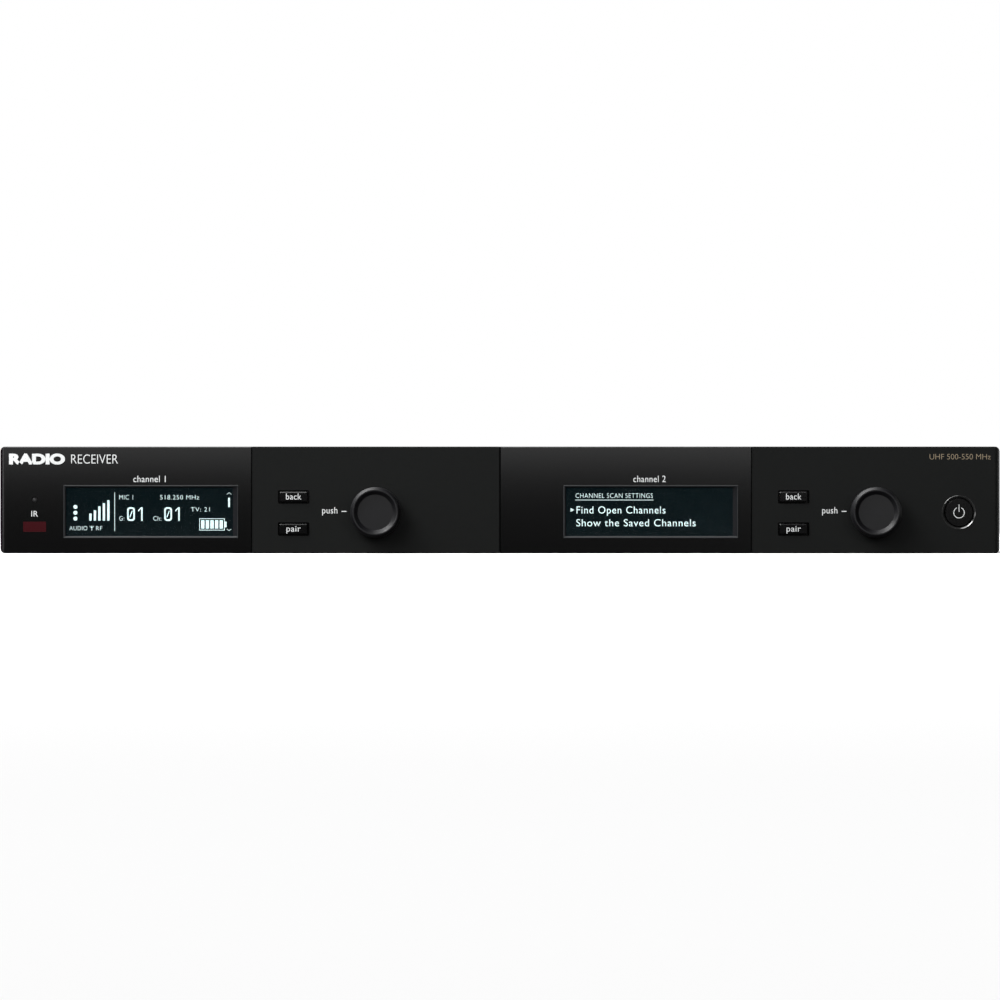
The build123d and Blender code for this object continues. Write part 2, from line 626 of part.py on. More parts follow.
def antenna_jack_contacts():
    pin = disc(1.05, -5.0, 9.3) - disc(0.68, 3.0, 12)
    return all_of(on_rear(pin, x, AXIS_Z) for x in ANTENNA_X.values())


XLR_FLOOR = -11.5


def xlr_housing(x):
    """A three-pin male output: flange outside, round shell inside, a notch for the latch."""
    shell = prism(26, 31, 0, 2.0, 2.5)
    shell = chamfer(shell.faces().sort_by(Axis.Z)[-1].edges(), 0.4)
    shell += disc(XLR_SHELL, -20, 0) + to_board(18, -19, -8, AXIS_Z, -6)
    shell -= disc(8.0, XLR_FLOOR, 3)
    shell -= block(-2.4, 2.4, 0, 9.6, -4, 3)
    for dx, dz in XLR_SCREWS:
        shell -= Pos(dx, dz, 2.0) * countersink()
    return on_rear(shell, x, AXIS_Z)


def xlr_pin_places():
    return [(4.05, 2.0), (-4.05, 2.0), (0, -3.8)]


def xlr_inserts():
    """The insulating discs that hold the pins at the bottom of each socket."""
    base = disc(7.95, XLR_FLOOR, XLR_FLOOR + 2)
    for dx, dz in xlr_pin_places():
        base -= Pos(dx, dz, 0) * disc(1.25, XLR_FLOOR - 1, 0)
    return all_of(on_rear(base, x, AXIS_Z) for x in XLR_X.values())


def xlr_pins():
    pin = chamfer(disc(1.2, XLR_FLOOR, -0.8).faces().sort_by(Axis.Z)[-1].edges(), 0.5)
    places = [(x, dx, dz) for x in XLR_X.values() for dx, dz in xlr_pin_places()]
    return all_of(on_rear(Pos(dx, dz, 0) * pin, x, AXIS_Z) for x, dx, dz in places)


def xlr_screws():
    screw = flat_screw(6.5)
    places = [(x, dx, dz) for x in XLR_X.values() for dx, dz in XLR_SCREWS]
    return all_of(on_rear(Pos(dx, dz, 2.0) * screw, x, AXIS_Z) for x, dx, dz in places)


PHONE_BORE = 3.25
PHONE_NOSE, PHONE_DEPTH = 5.0, -24.0


def phone_jack(x):
    """A quarter-inch output: moulded body inside and a threaded nose through the panel."""
    jack = prism(16, 16, -26, -STEEL, 0.8) + to_board(14, -25, -5, AXIS_Z, -7.5)
    nose = disc(PHONE_THREAD, -STEEL, PHONE_NOSE)
    nose = chamfer(nose.faces().sort_by(Axis.Z)[-1].edges(), 0.4)
    return on_rear(jack + nose - disc(PHONE_BORE, PHONE_DEPTH, PHONE_NOSE + 1), x, AXIS_Z)


def phone_jack_nuts():
    nut = hexagon(13, 0, 2.4) - disc(PHONE_THREAD + 0.05, -1, 3)
    return all_of(on_rear(nut, x, AXIS_Z) for x in PHONE_X.values())


def ethernet_jack():
    """A shielded network socket with its latch channel along the bottom."""
    shell = prism(ETHERNET_WIDTH, ETHERNET_HEIGHT, -20, 0.4, 0.3)
    port = block(-5.9, 5.9, -3.4, 4.2, -13, 1) + block(-3.1, 3.1, -5.4, 0, -13, 1)
    return on_rear(shell - port, ETHERNET_X, ETHERNET_Z)


def ethernet_contacts():
    count, pitch = 8, 1.02
    wire = block(-0.2, 0.2, 3.4, 3.8, -13, -3)
    places = [(i - (count - 1) / 2) * pitch for i in range(count)]
    return all_of(on_rear(Pos(dx, 0, 0) * wire, ETHERNET_X, ETHERNET_Z) for dx in places)


def dc_jack():
    jack = prism(DC_WIDTH, DC_HEIGHT, -14, 0.3, 0.6) + to_board(8, -14, -2, DC_Z, -5.5)
    return on_rear(jack - disc(3.2, -9.5, 1), DC_X, DC_Z)


def dc_jack_pin():
    pin = chamfer(disc(1.0, -9.5, -0.8).faces().sort_by(Axis.Z)[-1].edges(), 0.4)
    return on_rear(pin, DC_X, DC_Z)


HOOK_REACH, HOOK_LEG, HOOK_WIRE = 7.6, 6.2, 1.1


def cord_hook():
    """A tie-off loop for the power lead: a wire staple on a small plate."""
    left = (-HOOK_LEG, 0, 0.5), (-HOOK_LEG, 0, HOOK_REACH)
    right = (HOOK_LEG, 0, HOOK_REACH), (HOOK_LEG, 0, 0.5)
    route = FilletPolyline(*left, *right, radius=2.4)
    loop = sweep(Plane(route @ 0, z_dir=route % 0) * Circle(HOOK_WIRE), route)
    return on_rear(loop + prism(17, 6, 0, 1.0, 1.2), HOOK_X, DC_Z)


# --- All pieces ---------------------------------------------------------------------------
SINGLE = [
    base_chassis,
    rear_panel,
    top_cover,
    chassis_screws,
    rack_ear_inserts,
    front_bezel,
    bezel_screws,
    lens_panel_1,
    lens_panel_2,
    control_panel_1,
    control_panel_2,
    ir_window,
    status_light_pipe,
    front_board_screws,
    tact_switches,
    power_button,
    encoder_bushings,
    main_board,
    board_standoffs,
    board_screws,
    board_components,
    ribbon_cables,
    antenna_jack_nuts,
    antenna_jack_insulators,
    antenna_jack_contacts,
    xlr_inserts,
    xlr_pins,
    xlr_screws,
    phone_jack_nuts,
    ethernet_jack,
    ethernet_contacts,
    dc_jack,
    dc_jack_pin,
    cord_hook,
]
PER_CHANNEL = [
    display_window,
    display_module,
    back_button,
    pair_button,
    encoder_housing,
    encoder_plunger,
    encoder_shaft,
    knob,
]

pieces = {make.__name__: make() for make in SINGLE}
for number, shift in (("1", 0), ("2", CHANNEL_PITCH)):
    pieces |= {f"{make.__name__}_{number}": make(shift) for make in PER_CHANNEL}
    pieces[f"xlr_housing_{number}"] = xlr_housing(XLR_X[number])
    pieces[f"phone_jack_{number}"] = phone_jack(PHONE_X[number])
for side, number, letter in ((-1, "1", "a"), (1, "2", "b")):
    pieces[f"front_board_{number}"] = front_board(side)
    pieces[f"rf_shield_{letter}"] = rf_shield(side)
    pieces[f"antenna_jack_{letter}"] = antenna_jack(ANTENNA_X[letter])

os.makedirs("parts", exist_ok=True)
for name, piece in pieces.items():
    export_step(piece, f"parts/{name}.step")
print(len(pieces), "pieces")
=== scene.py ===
import json
import math

import bmesh
import bpy
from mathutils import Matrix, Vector


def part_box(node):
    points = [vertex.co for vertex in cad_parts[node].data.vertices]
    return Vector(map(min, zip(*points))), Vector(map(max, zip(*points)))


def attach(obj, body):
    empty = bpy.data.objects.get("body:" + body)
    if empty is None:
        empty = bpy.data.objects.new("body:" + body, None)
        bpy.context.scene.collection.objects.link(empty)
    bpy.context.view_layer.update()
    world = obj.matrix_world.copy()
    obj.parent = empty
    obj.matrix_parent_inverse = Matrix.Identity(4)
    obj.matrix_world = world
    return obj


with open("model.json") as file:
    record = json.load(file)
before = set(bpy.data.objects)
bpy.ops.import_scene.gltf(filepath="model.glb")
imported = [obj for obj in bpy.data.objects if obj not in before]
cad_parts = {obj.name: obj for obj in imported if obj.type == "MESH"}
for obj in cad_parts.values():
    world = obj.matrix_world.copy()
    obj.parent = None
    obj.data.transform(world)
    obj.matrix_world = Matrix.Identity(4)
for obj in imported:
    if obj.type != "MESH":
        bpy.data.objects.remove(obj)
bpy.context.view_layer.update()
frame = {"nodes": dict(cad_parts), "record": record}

# Dual-channel wireless receiver.  Lengths are in millimetres, turned into metres by MM.
MM = 0.001
CHANNELS = ("1", "2")
PRINT_LIFT = 0.02  # from a surface to the middle of the ink printed on it
PRINT_THICK = 0.015
SHARP_ANGLE = 32.0  # edges that turn by more than this many degrees stay sharp
CAP_SHARE, LOWER_SHARE = 0.682, 0.449  # capital and x heights as shares of the font's size
LETTER_STEPS, DOT_SIDES, CORNER_STEPS, SYMBOL_STEPS = 6, 24, 6, 48  # straight edges in each curve

# Legends on the fascia: text, height of its capitals, and place
TITLE_CAP, TITLE_LEFT, TITLE_TOP = 3.6, 3.5, 3.1
TITLE_WIDTHS = {"RADIO": 22.0, "RECEIVER": 18.4}
TITLE_GAP, TITLE_BOLD, TITLE_THIN = 2.4, 0.06, -0.012
NAME_THIN, NAME_SPACING = -0.002, 1.06
BAND_TEXT, BAND_CAP, BAND_RIGHT, BAND_TOP = "UHF 500-550 MHz", 2.15, 3.6, 2.9
CHANNEL_CAP, CHANNEL_RISE, CHANNEL_WIDTH = 2.5, 13.0, 12.7
SENSOR_CAP, SENSOR_RISE = 2.2, 5.1
PUSH_CAP, PUSH_WIDTH, PUSH_GAP, PUSH_LIFT = 2.5, 6.0, 1.5, 0.4
DASH_START, DASH_LENGTH, DASH_LOW, DASH_HIGH = 1.65, 1.9, -0.2, 0.15
KEY_CAP, KEY_FOOT, KEY_WIDTHS = 2.35, -1.0, {"back": 6.0, "pair": 5.6}

# Rear legends: piece, text, and height of the text's foot above the piece's middle
REAR_CAP = 2.1
REAR_NAMES = [
    ("antenna_jack_a", "antenna a", 12.5),
    ("antenna_jack_b", "antenna b", 12.5),
    ("xlr_housing_1", "output 1", 16.4),
    ("xlr_housing_2", "output 2", 16.4),
    ("phone_jack_1", "line out 1", 10.5),
    ("phone_jack_2", "line out 2", 10.5),
    ("ethernet_jack", "network", 10.5),
    ("dc_jack", "power 15 V DC", 10.5),
]

# Screen contents, measured from the lower left corner of the display opening
OPENING_MARGIN = 2.1  # the window reaches this far beyond the opening on every side
SCREEN_DEPTH = 0.05  # the drawing lies this far behind the window, midway to the glass
DOT_X, DOT_HEIGHTS, DOT_RADIUS = 3.45, (11.5, 9.2, 6.9), 0.8
BAR_X, BAR_PITCH, BAR_WIDTH, BAR_FOOT = 9.35, 1.77, 0.9, 6.1
BAR_TOPS = (8.9, 10.15, 11.7, 12.9, 14.1)
DIVIDER_X, DIVIDER_SPAN, LINE_WIDTH = 18.9, (2.0, 17.2), 0.22
BATTERY_LEFT, BATTERY_FOOT, BATTERY_WIDTH, BATTERY_HEIGHT = 52.2, 2.25, 10.0, 4.7
BATTERY_CELLS, CELL_GAP, NUB_REACH, NUB_HALF = 5, 0.5, 0.7, 1.1
SCROLL_X, SCROLL_SPAN, SCROLL_WIDTH = 63.9, (11.4, 15.1), 0.72
CHEVRON_HALF, CHEVRON_RISE, CHEVRON_STROKE = 0.85, 0.7, 0.2
AERIAL_X, AERIAL_FOOT, AERIAL_FORK, AERIAL_HEIGHT = 9.9, 2.25, 0.9, 1.8
SCREEN_SPACING, THIN = 1.1, -0.012
# (text, left, foot, capital height, width, bold) on each screen
SCREEN_TEXTS = {
    "1": [
        ("MIC 1", 20.7, 14.4, 1.8, 5.4, THIN),
        ("518.250 MHz", 36.8, 14.4, 1.75, 15.3, THIN),
        ("G:", 20.75, 6.1, 1.75, 1.9, THIN),
        ("Ch:", 34.1, 6.1, 1.75, 3.1, THIN),
        ("TV: 21", 48.9, 9.65, 1.7, 7.4, THIN),
        ("AUDIO", 1.1, 2.3, 1.65, 7.0, THIN),
        ("RF", 11.6, 2.3, 1.65, 2.4, THIN),
    ],
    "2": [
        ("CHANNEL SCAN SETTINGS", 3.75, 15.0, 1.85, 30.4, THIN),
        ("Find Open Channels", 4.1, 8.9, 2.8, 35.0, 0.0),
        ("Show the Saved Channels", 4.0, 3.85, 2.8, 47.0, 0.0),
    ],
}
MENU_LINE_Z, MENU_LINE_SPAN = 14.2, (3.6, 34.4)
MENU_MARK_X, MENU_MARK_Z, MENU_MARK = 2.5, 10.3, 0.75
DIGITS_LEFT, DIGITS_FOOT = (23.8, 38.4), 6.0
DIGIT_WIDTH, DIGIT_HEIGHT, DIGIT_STROKE, DIGIT_CORNER = 3.05, 5.35, 0.6, 1.05
SLASH_FOOT, SLASH_TOP, SLASH_WIDTH = (1.05, 1.4), (2.0, 3.95), 0.38
ONE_STEM, ONE_FLAG = 5.5, 1.15

# Lip moulded round each display opening, whose sides slope back from it
SLOPE_LEFT, SLOPE_RIGHT, SLOPE_LOW, SLOPE_HIGH = 0.9, 2.0, 0.7, 0.9
# (reach beyond the opening's mouth, depth) round its section
LIP_SECTION = [(0.15, 0.03), (-0.05, -0.12), (-0.2, -0.12), (-0.6, 0.3), (-0.6, 0.36), (0.15, 0.12)]
LIP_RIGHT, LIP_LOW = 0.5, 1.15  # shares of that reach that the right side and the foot have
SLOPE_DEPTH, LINING_THICK = 1.1, 0.05
LINING_SPAN = (0.03, 0.97)  # where the lining starts and ends, as shares of the slopes' depth

# Ring round the power button
# (radius, depth) round its section: first the visible side, then the back
RING_SECTION = [
    (6.7, 0.02),
    (6.7, -0.08),
    (6.63, -0.14),
    (6.5, -0.14),
    (6.2, 0.07),
    (5.95, 0.28),
    (5.76, 0.55),
    (5.76, 0.9),
    (6.7, 0.12),
]
RING_STEPS = 120

# Power symbol
SYMBOL_RADIUS, SYMBOL_STROKE, SYMBOL_GAP = 2.08, 0.26, 25.0
SYMBOL_DROP, SYMBOL_BAR = -0.08, (0.35, 3.2)


# --- Materials ----------------------------------------------------------------------------
PATCH, PATCH_SPREAD = 25.0, 0.07  # size of the faint patches in every surface, and how far they go
NOISE_LOW, NOISE_HIGH = 0.3, 0.7  # most noise values lie between these
COAT_ROUGH = 0.12
BRUSHED = (1, 30, 30)  # draws the grain out along X
# A cell of the screens' pixel grid is half of GRID_SIZE wide and a quarter of it high
GRID_SIZE, GRID_LINE, GRID_SHADE, PIXEL_ROUGH = 0.68, 0.03, 0.5, 0.6
ACRYLIC_IOR, SMUDGE_SIZE, SMUDGE_SPREAD = 1.49, 12.0, 0.03

# Colour, range of roughness, size and depth of the grain, and other settings of each surface
SURFACES = {
    "case_paint": ((0.013, 0.013, 0.0138), (0.45, 0.6), 0.35, 0.05, {"shine": 0.35}),
    "gloss_black": ((0.0006, 0.0007, 0.0008), (0.18, 0.205), 0.5, 0.001, {"shine": 0.48}),
    "matt_black": ((0.0029, 0.0035, 0.0033), (0.5, 0.62), 0.12, 0.012, {"shine": 0.18}),
    "bezel_black": ((0.008, 0.008, 0.009), (0.45, 0.6), 0.15, 0.012, {}),
    "key_black": ((0.0015, 0.0015, 0.0016), (0.15, 0.21), 0.2, 0.003, {"shine": 0.35}),
    "knob_black": ((0.0032, 0.0032, 0.0042), (0.41, 0.49), 0.15, 0.002, {"shine": 0.4}),
    "infrared_red": ((0.045, 0.0035, 0.006), (0.2, 0.26), 0.6, 0.002, {"shine": 0.3}),
    "light_pipe": ((0.03, 0.03, 0.031), (0.3, 0.4), 0.2, 0.004, {}),
    "board_green": ((0.01, 0.07, 0.03), (0.3, 0.42), 0.8, 0.01, {}),
    "chip_black": ((0.02, 0.02, 0.021), (0.5, 0.7), 0.15, 0.01, {}),
    "ribbon_grey": ((0.4, 0.4, 0.42), (0.4, 0.5), 0.6, 0.06, {"stretch": (1, 0.05, 0.05)}),
    "connector_black": ((0.014, 0.014, 0.015), (0.4, 0.55), 0.15, 0.012, {}),
    "insulator_white": ((0.7, 0.69, 0.64), (0.35, 0.5), 0.3, 0.004, {}),
    "screw_black": ((0.07, 0.07, 0.073), (0.28, 0.4), 0.12, 0.006, {"metallic": 0.8}),
    "zinc_steel": ((0.55, 0.55, 0.56), (0.25, 0.4), 0.4, 0.006, {"metallic": 1.0, "stretch": BRUSHED}),
    "nickel": ((0.66, 0.64, 0.6), (0.14, 0.24), 0.5, 0.003, {"metallic": 1.0}),
    "tin_shield": ((0.6, 0.61, 0.62), (0.25, 0.38), 0.5, 0.006, {"metallic": 1.0, "stretch": BRUSHED}),
    "gold_contact": ((0.9, 0.62, 0.22), (0.15, 0.25), 0.3, 0.002, {"metallic": 1.0}),
    "brass": ((0.72, 0.52, 0.25), (0.22, 0.35), 0.3, 0.004, {"metallic": 1.0}),
    "ink_white": ((0.88, 0.9, 0.9), (0.45, 0.6), 0.08, 0.003, {}),
    "ink_gold": ((0.30, 0.235, 0.155), (0.45, 0.6), 0.08, 0.003, {}),
    "lip_grey": ((0.03, 0.032, 0.034), (0.4, 0.5), 0.1, 0.002, {"shine": 0.3}),
    "lining_black": ((0.007, 0.0075, 0.009), (0.5, 0.6), 0.1, 0.002, {"shine": 0.1}),
    "polished_black": ((0.02, 0.02, 0.02), (0.12, 0.18), 0.3, 0.001, {"coat": 1.0}),
}


def new_material(name):
    """An empty node material with its shader, output and coordinates in object space."""
    material = bpy.data.materials.new(name)
    material.use_nodes = True
    nodes = material.node_tree.nodes
    shader = nodes["Principled BSDF"]
    coords = nodes.new("ShaderNodeTexCoord").outputs["Object"]
    return material, nodes, material.node_tree.links, shader, coords


def stretched(nodes, links, coords, scale):
    """Object coordinates stretched along each axis."""
    mapping = nodes.new("ShaderNodeMapping")
    mapping.inputs["Scale"].default_value = scale
    links.new(coords, mapping.inputs["Vector"])
    return mapping.outputs["Vector"]


def noise(nodes, links, coords, size, detail=3.0):
    """Soft noise whose features are about size millimetres across."""
    texture = nodes.new("ShaderNodeTexNoise")
    texture.inputs["Scale"].default_value = 1 / (size * MM)
    texture.inputs["Detail"].default_value = detail
    links.new(coords, texture.inputs["Vector"])
    return texture.outputs["Fac"]


def remap(nodes, links, value, low, high):
    """A noise value spread over a new range."""
    node = nodes.new("ShaderNodeMapRange")
    node.inputs["From Min"].default_value = NOISE_LOW
    node.inputs["From Max"].default_value = NOISE_HIGH
    node.inputs["To Min"].default_value = low
    node.inputs["To Max"].default_value = high
    links.new(value, node.inputs["Value"])
    return node.outputs["Result"]


def tint(nodes, links, value, dark, light):
    """A colour between two, chosen by a noise value."""
    ramp = nodes.new("ShaderNodeValToRGB")
    ramp.color_ramp.elements[0].position = NOISE_LOW
    ramp.color_ramp.elements[1].position = NOISE_HIGH
    ramp.color_ramp.elements[0].color = (*dark, 1)
    ramp.color_ramp.elements[1].color = (*light, 1)
    links.new(value, ramp.inputs["Fac"])
    return ramp.outputs["Color"]


def add_bump(nodes, links, shader, height, depth, strength=0.5):
    """Bump of a depth in millimetres."""
    node = nodes.new("ShaderNodeBump")
    node.inputs["Strength"].default_value = strength
    node.inputs["Distance"].default_value = depth * MM
    links.new(height, node.inputs["Height"])
    links.new(node.outputs["Normal"], shader.inputs["Normal"])


def surface(name, color, rough, grain, depth, metallic=0.0, stretch=(1, 1, 1), coat=0.0, shine=0.5):
    """A general surface: fine grain in the bump, broad patches in the colour and gloss."""
    material, nodes, links, shader, coords = new_material(name)
    fine = noise(nodes, links, stretched(nodes, links, coords, stretch), grain)
    broad = noise(nodes, links, coords, PATCH, detail=2.0)
    dark = tuple(c * (1 - PATCH_SPREAD) for c in color)
    light = tuple(min(1.0, c * (1 + PATCH_SPREAD)) for c in color)
    links.new(tint(nodes, links, broad, dark, light), shader.inputs["Base Color"])
    links.new(remap(nodes, links, fine, *rough), shader.inputs["Roughness"])
    shader.inputs["Metallic"].default_value = metallic
    shader.inputs["Specular IOR Level"].default_value = shine
    shader.inputs["Coat Weight"].default_value = coat
    shader.inputs["Coat Roughness"].default_value = COAT_ROUGH
    add_bump(nodes, links, shader, fine, depth)
    return material


def glowing(name, color, strength):
    """Screen pixels: an even glow crossed by a darker grid."""
    material, nodes, links, shader, coords = new_material(name)
    grid = nodes.new("ShaderNodeTexBrick")
    grid.offset = 0.0
    grid.inputs["Scale"].default_value = 1 / (GRID_SIZE * MM)
    grid.inputs["Mortar Size"].default_value = GRID_LINE
    grid.inputs["Color1"].default_value = (*color, 1)
    grid.inputs["Color2"].default_value = (*color, 1)
    grid.inputs["Mortar"].default_value = (*(c * GRID_SHADE for c in color), 1)
    upright = nodes.new("ShaderNodeMapping")
    upright.inputs["Rotation"].default_value = (math.radians(-90), 0, 0)
    links.new(coords, upright.inputs["Vector"])
    links.new(upright.outputs["Vector"], grid.inputs["Vector"])
    links.new(grid.outputs["Color"], shader.inputs["Base Color"])
    links.new(grid.outputs["Color"], shader.inputs["Emission Color"])
    shader.inputs["Emission Strength"].default_value = strength
    shader.inputs["Roughness"].default_value = PIXEL_ROUGH
    return material


def backlit(name, color, glow, strength):
    """Dark display glass that lets a little of its backlight through."""
    material = surface(name, color, rough=(0.25, 0.35), grain=0.3, depth=0.001, shine=0.1)
    shader = material.node_tree.nodes["Principled BSDF"]
    shader.inputs["Emission Color"].default_value = (*glow, 1)
    shader.inputs["Emission Strength"].default_value = strength
    return material


def clear(name, color, roughness):
    """Clear moulded plastic with faint smudges."""
    material, nodes, links, shader, coords = new_material(name)
    smudge = noise(nodes, links, coords, SMUDGE_SIZE, detail=2.0)
    rough = remap(nodes, links, smudge, roughness, roughness + SMUDGE_SPREAD)
    links.new(rough, shader.inputs["Roughness"])
    shader.inputs["Base Color"].default_value = (*color, 1)
    shader.inputs["Transmission Weight"].default_value = 1.0
    shader.inputs["IOR"].default_value = ACRYLIC_IOR
    return material


def make_materials():
    """One material for each of the record's slots, and the ink, trim and screen colours."""
    materials = {}
    for name, (color, rough, grain, depth, settings) in SURFACES.items():
        materials[name] = surface(name, color, rough, grain, depth, **settings)
    materials["clear_window"] = clear("clear_window", color=(0.9, 0.95, 0.95), roughness=0.02)
    materials["display_glass"] = backlit(
        "display_glass",
        color=(0.0005, 0.002, 0.0025),
        glow=(0.1, 0.7, 0.95),
        strength=0.0065,
    )
    materials["screen_pixels"] = glowing("screen_pixels", color=(0.80, 0.93, 0.93), strength=1.25)
    return materials


def dress_cad(materials):
    """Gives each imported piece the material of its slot, with smooth shading on its curved faces."""
    for row in frame["record"]["subparts"]:
        piece = frame["nodes"][row["node"]]
        piece.data.materials.clear()
        piece.data.materials.append(materials[row["material_slot"]])
        piece.data.shade_smooth()
        piece.data.set_sharp_from_angle(angle=math.radians(SHARP_ANGLE))


# --- Flat printed shapes ------------------------------------------------------------------
def add_piece(name, mesh, material, body="root"):
    """A finished mesh as a piece that rides on a body."""
    piece = bpy.data.objects.new(name, mesh)
    mesh.materials.clear()
    mesh.materials.append(material)
    bpy.context.scene.collection.objects.link(piece)
    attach(piece, body)
    return piece


def text_outline(text, cap, left, foot, bold=0.0, width=None, spacing=1.0):
    """Solid lettering in a bmesh, lying in X and Z (millimetres), one stroke deep along Y."""
    curve = bpy.data.curves.new("lettering", "FONT")
    curve.body = text
    curve.size = cap / CAP_SHARE
    curve.offset = bold * cap / CAP_SHARE
    curve.space_character = spacing
    curve.extrude = PRINT_THICK / 2
    curve.resolution_u = LETTER_STEPS
    holder = bpy.data.objects.new("lettering", curve)
    mesh = bpy.data.meshes.new_from_object(holder)
    letters = bmesh.new()
    letters.from_mesh(mesh)
    bpy.data.objects.remove(holder)
    bpy.data.curves.remove(curve)
    bpy.data.meshes.remove(mesh)
    low = min(v.co.x for v in letters.verts)
    high = max(v.co.x for v in letters.verts)
    stretch = width / (high - low) if width else 1.0
    for v in letters.verts:
        v.co = Vector((left + (v.co.x - low) * stretch, -v.co.z, foot + v.co.y))
    return letters, (high - low) * stretch


def plate(x0, x1, z0, z1):
    """A thin rectangular solid facing the front."""
    return outline_solid([(x0, z0), (x1, z0), (x1, z1), (x0, z1)])


def outline_solid(corners):
    """A thin solid from an outline of (x, z) corners, anticlockwise from the front."""
    shape = bmesh.new()
    half = PRINT_THICK / 2
    front = [shape.verts.new((x, -half, z)) for x, z in corners]
    back = [shape.verts.new((x, half, z)) for x, z in corners]
    shape.faces.new(front)
    shape.faces.new(list(reversed(back)))
    for i in range(len(corners)):
        j = (i + 1) % len(corners)
        shape.faces.new((front[j], front[i], back[i], back[j]))
    return shape


def arc_points(radius, start, stop, steps):
    """(x, z) points along an arc, angles in degrees from +X towards +Z."""
    angles = [math.radians(start + (stop - start) * i / steps) for i in range(steps + 1)]
    return [(radius * math.cos(a), radius * math.sin(a)) for a in angles]


def round_dot(x, z, radius):
    """A filled circle."""
    rim = arc_points(radius, 0, 360 - 360 / DOT_SIDES, DOT_SIDES - 1)
    return outline_solid([(x + dx, z + dz) for dx, dz in rim])


def print_shapes(name, shapes, material, y, body="root", x=0.0, z=0.0):
    """Joins shapes into one printed piece just in front of y, moved by x and z (millimetres)."""
    whole = bmesh.new()
    for shape in shapes:
        part = bpy.data.meshes.new("part")
        shape.to_mesh(part)
        whole.from_mesh(part)
        shape.free()
        bpy.data.meshes.remove(part)
    for v in whole.verts:
        v.co = Vector((v.co.x + x, v.co.y + y, v.co.z + z)) * MM
    mesh = bpy.data.meshes.new(name)
    whole.to_mesh(mesh)
    whole.free()
    return add_piece(name, mesh, material, body)


def box_mm(node):
    """A piece's box in millimetres."""
    low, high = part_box(node)
    return low / MM, high / MM


def centre_mm(node):
    """The middle of a piece's box in millimetres."""
    low, high = box_mm(node)
    return (low + high) / 2


# --- Legends ------------------------------------------------------------------------------
def centred(text, cap, foot, bold=NAME_THIN, width=None):
    """Spaced lettering centred on x = 0."""
    letters, wide = text_outline(text, cap, 0, foot, bold, width, NAME_SPACING)
    for v in letters.verts:
        v.co.x -= wide / 2
    return letters


def title_legend(materials):
    """The title at the left end: a heavy word and a light one."""
    low, high = box_mm("lens_panel_1")
    left, foot = low.x + TITLE_LEFT, high.z - TITLE_TOP - TITLE_CAP
    words = []
    for (word, width), bold in zip(TITLE_WIDTHS.items(), (TITLE_BOLD, TITLE_THIN)):
        words.append(text_outline(word, TITLE_CAP, left, foot, bold, width)[0])
        left += width + TITLE_GAP
    print_shapes("title_legend", words, materials["ink_white"], low.y - PRINT_LIFT)


def band_legend(materials):
    """The frequency band at the right end."""
    low, high = box_mm("lens_panel_1")
    right = box_mm("control_panel_2")[1].x - BAND_RIGHT
    letters, wide = text_outline(BAND_TEXT, BAND_CAP, 0, high.z - BAND_TOP - BAND_CAP, TITLE_THIN)
    print_shapes("band_legend", [letters], materials["ink_gold"], low.y - PRINT_LIFT, x=right - wide)


def channel_legend(number, materials):
    """A channel's name above its display."""
    window, face = centre_mm(f"display_window_{number}"), box_mm("lens_panel_1")[0].y
    foot = CHANNEL_RISE - CHANNEL_CAP / 2
    name = centred(f"channel {number}", CHANNEL_CAP, foot, width=CHANNEL_WIDTH)
    place = {"x": window.x, "z": window.z}
    print_shapes(f"channel_legend_{number}", [name], materials["ink_white"], face - PRINT_LIFT, **place)


def push_legend(number, materials):
    """The word and dash to the left of a channel's knob."""
    node, face = f"knob_{number}", box_mm("lens_panel_1")[0].y
    foot = -LOWER_SHARE / CAP_SHARE * PUSH_CAP / 2
    hint, wide = text_outline("push", PUSH_CAP, 0, foot, NAME_THIN, PUSH_WIDTH, NAME_SPACING)
    reach = wide + DASH_START + DASH_LENGTH
    dash = plate(wide + DASH_START, reach, DASH_LOW, DASH_HIGH)
    place = {"x": box_mm(node)[0].x - PUSH_GAP - reach, "z": centre_mm(node).z + PUSH_LIFT}
    print_shapes(f"push_legend_{number}", [hint, dash], materials["ink_white"], face - PRINT_LIFT, **place)


def sensor_legend(materials):
    """The infrared window's name above it."""
    sensor, face = centre_mm("ir_window"), box_mm("lens_panel_1")[0].y
    name = centred("IR", SENSOR_CAP, SENSOR_RISE - SENSOR_CAP / 2)
    place = {"x": sensor.x, "z": sensor.z}
    print_shapes("sensor_legend", [name], materials["ink_white"], face - PRINT_LIFT, **place)


def rear_legends(materials):
    """Names beside the connectors, read from behind."""
    face = box_mm("rear_panel")[1].y + PRINT_LIFT
    for node, text, rise in REAR_NAMES:
        place = centre_mm(node)
        letters = centred(text, REAR_CAP, rise)
        for v in letters.verts:
            v.co.x, v.co.y = -v.co.x, -v.co.y
        print_shapes(f"rear_{node}", [letters], materials["ink_white"], face, x=place.x, z=place.z)


def key_legends(materials):
    """Words on the channel keys; each moves with its key."""
    for number in CHANNELS:
        for word, width in KEY_WIDTHS.items():
            node = f"{word}_button_{number}"
            middle, y = centre_mm(node), box_mm(node)[0].y - PRINT_LIFT
            letters = centred(word, KEY_CAP, KEY_FOOT, width=width)
            place = {"body": f"{word}_key_{number}", "x": middle.x, "z": middle.z}
            print_shapes(f"{word}_key_legend_{number}", [letters], materials["ink_white"], y, **place)


